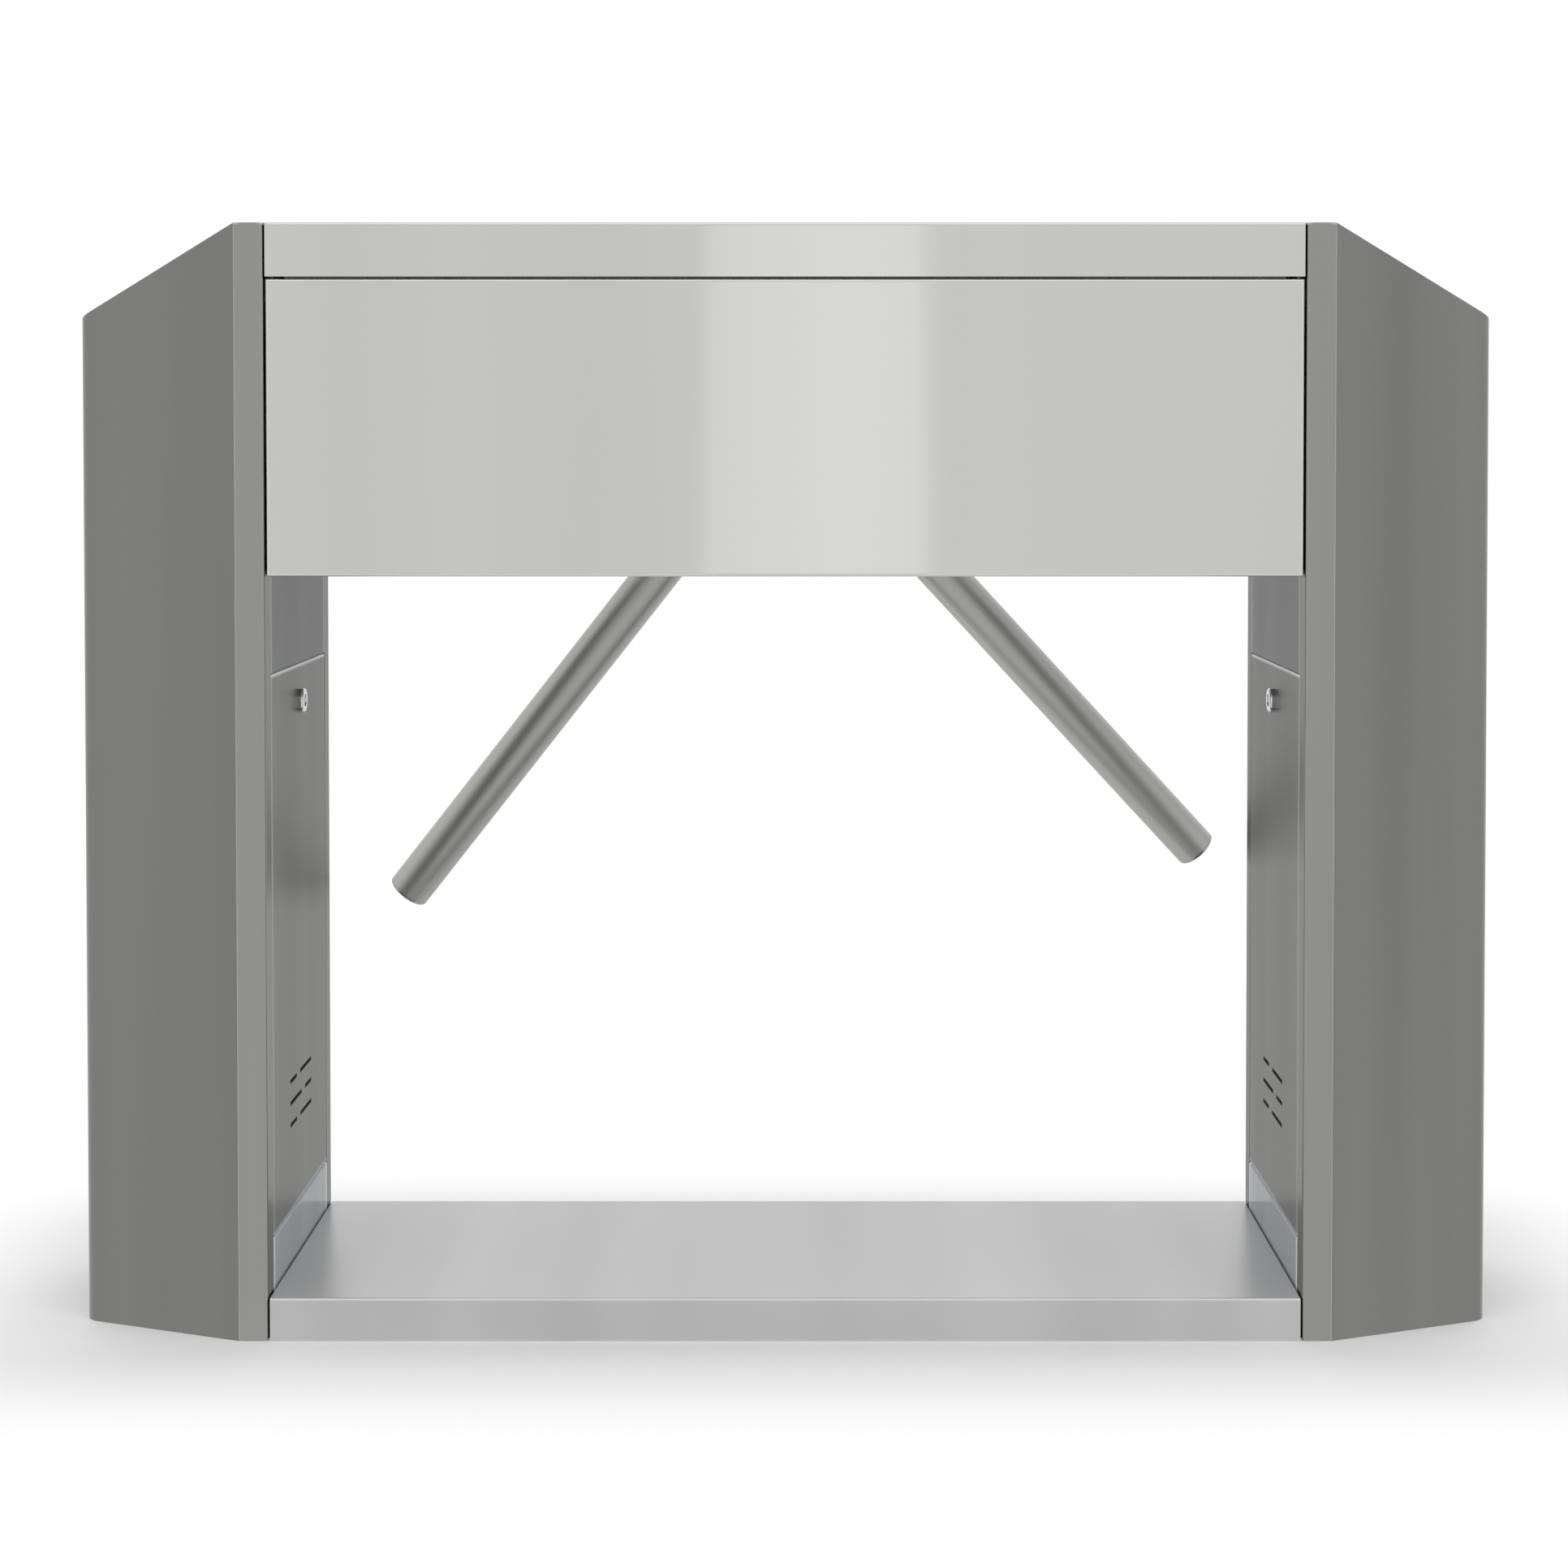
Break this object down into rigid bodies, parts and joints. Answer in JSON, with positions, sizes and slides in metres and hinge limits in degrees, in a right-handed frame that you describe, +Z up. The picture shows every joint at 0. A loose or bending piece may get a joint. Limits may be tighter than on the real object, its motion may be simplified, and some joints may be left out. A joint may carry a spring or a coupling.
{
  "type": "tripod turnstile",
  "caption": "Bridge-shaped steel tripod turnstile: twin columns with service doors, a beam housing a tilted rotating three-arm barrier, and a low base tray.",
  "frame": {"origin": "on the floor, midway between the columns and midway through the cabinet's depth", "axes": "+X along the cabinet, +Y towards the arms' side, +Z up; the picture looks along +Y"},
  "size_m": [1.285, 1.0092, 1],
  "materials": {
    "post_steel": "satin",
    "cover_steel": "satin",
    "inner_steel": "semi-polished",
    "beam_steel": "satin",
    "base_steel": "satin",
    "plate_steel": "zinc plated",
    "arm_steel": "polished",
    "lock_chrome": "polished",
    "fastener_steel": "plain",
    "machined_steel": "machined",
    "reader_lens": "gloss",
    "seal_rubber": "matte",
    "motor_black": "semi-gloss",
    "circuit_board": "solder mask",
    "supply_case": "plain",
    "magnet_metal": "nickel",
    "hinge_steel": "satin"
  },
  "bodies": {
    "frame": {"base_cover": "base_steel", "base_pan": "plate_steel", "beam_back_panel": "beam_steel", "beam_bolts": "fastener_steel", "beam_floor": "plate_steel", "beam_front_panel": "beam_steel", "bearing_housing": "arm_steel", "control_board": "circuit_board", "cover_screws": "fastener_steel", "drive_motor": "motor_black", "frame_screws": "fastener_steel", "front_bearing": "machined_steel", "left_back_post": "post_steel", "left_cover": "cover_steel", "left_foot_plate": "plate_steel", "left_front_post": "post_steel", "left_lower_panel": "inner_steel", "left_reader_window": "reader_lens", "left_solenoid": "motor_black", "left_upper_panel": "inner_steel", "lid_hinge_leaves": "hinge_steel", "mechanism_frame": "plate_steel", "pawl_posts": "machined_steel", "plate_screws": "fastener_steel", "power_supply": "supply_case", "rear_bearing": "machined_steel", "right_back_post": "post_steel", "right_cover": "cover_steel", "right_foot_plate": "plate_steel", "right_front_post": "post_steel", "right_lower_panel": "inner_steel", "right_reader_window": "reader_lens", "right_solenoid": "motor_black", "right_upper_panel": "inner_steel", "sensor_board": "circuit_board", "sensor_bridge": "plate_steel", "sleeve_seal": "seal_rubber"},
    "tripod": {"main_shaft": "machined_steel", "hub": "arm_steel", "hub_screws": "fastener_steel", "barrier_arm_1": "arm_steel", "barrier_arm_2": "arm_steel", "barrier_arm_3": "arm_steel", "arm_caps": "arm_steel", "drive_gear": "machined_steel", "lock_disc": "machined_steel", "sensor_magnet": "magnet_metal"},
    "pinion": {"drive_pinion": "machined_steel"},
    "left_pawl": {"left_pawl": "machined_steel"},
    "right_pawl": {"right_pawl": "machined_steel"},
    "left_plunger": {"left_plunger": "machined_steel"},
    "right_plunger": {"right_plunger": "machined_steel"},
    "left_door": {"left_door": "inner_steel", "left_lock_body": "lock_chrome"},
    "right_door": {"right_door": "inner_steel", "right_lock_body": "lock_chrome"},
    "left_lock": {"left_lock_cylinder": "lock_chrome"},
    "right_lock": {"right_lock_cylinder": "lock_chrome"},
    "lid": {"beam_lid": "beam_steel", "lid_hinge_wings": "hinge_steel"}
  },
  "joints": [
    {"name": "tripod_spin", "type": "hinge", "parent": "frame", "child": "tripod", "pos_m": [0, 0.194, 0.844], "axis": [0, 0.6756, -0.7373], "continuous": true},
    {"name": "pinion_spin", "type": "hinge", "parent": "frame", "child": "pinion", "pos_m": [0, 0.04713, 0.90067], "axis": [0, 0.6756, -0.7373], "continuous": true},
    {"name": "left_pawl_pivot", "type": "hinge", "parent": "frame", "child": "left_pawl", "pos_m": [-0.056, 0.05543, 0.92861], "axis": [0, 0.6756, -0.7373], "range_deg": [0, 12.5], "stiffness_Nm_per_rad": 2, "springref_deg": -11.46},
    {"name": "left_plunger_slide", "type": "slide", "parent": "frame", "child": "left_plunger", "axis": [-1, 0, 0], "range_m": [0, 0.006]},
    {"name": "left_door_tilt", "type": "hinge", "parent": "frame", "child": "left_door", "pos_m": [-0.4655, 0, 0.0852], "axis": [0, 1, 0], "range_deg": [0, 20]},
    {"name": "left_lock_turn", "type": "hinge", "parent": "left_door", "child": "left_lock", "pos_m": [-0.47, 0, 0.561], "axis": [1, 0, 0], "range_deg": [0, 90]},
    {"name": "right_pawl_pivot", "type": "hinge", "parent": "frame", "child": "right_pawl", "pos_m": [0.056, 0.05543, 0.92861], "axis": [0, -0.6756, 0.7373], "range_deg": [0, 12.5], "stiffness_Nm_per_rad": 2, "springref_deg": -11.46},
    {"name": "right_plunger_slide", "type": "slide", "parent": "frame", "child": "right_plunger", "axis": [1, 0, 0], "range_m": [0, 0.006]},
    {"name": "right_door_tilt", "type": "hinge", "parent": "frame", "child": "right_door", "pos_m": [0.4655, 0, 0.0852], "axis": [0, -1, 0], "range_deg": [0, 20]},
    {"name": "right_lock_turn", "type": "hinge", "parent": "right_door", "child": "right_lock", "pos_m": [0.47, 0, 0.561], "axis": [1, 0, 0], "range_deg": [0, 90]},
    {"name": "lid_hinge", "type": "hinge", "parent": "frame", "child": "lid", "pos_m": [0, 0.154, 0.9511], "axis": [-1, 0, 0], "range_deg": [0, 80]}
  ],
  "couplings": [
    {"joint": "pinion_spin", "follows": "tripod_spin", "ratio": -2.5},
    {"joint": "left_plunger_slide", "follows": "left_pawl_pivot", "m_per_rad": 0.0274},
    {"joint": "right_plunger_slide", "follows": "right_pawl_pivot", "m_per_rad": 0.0274}
  ]
}
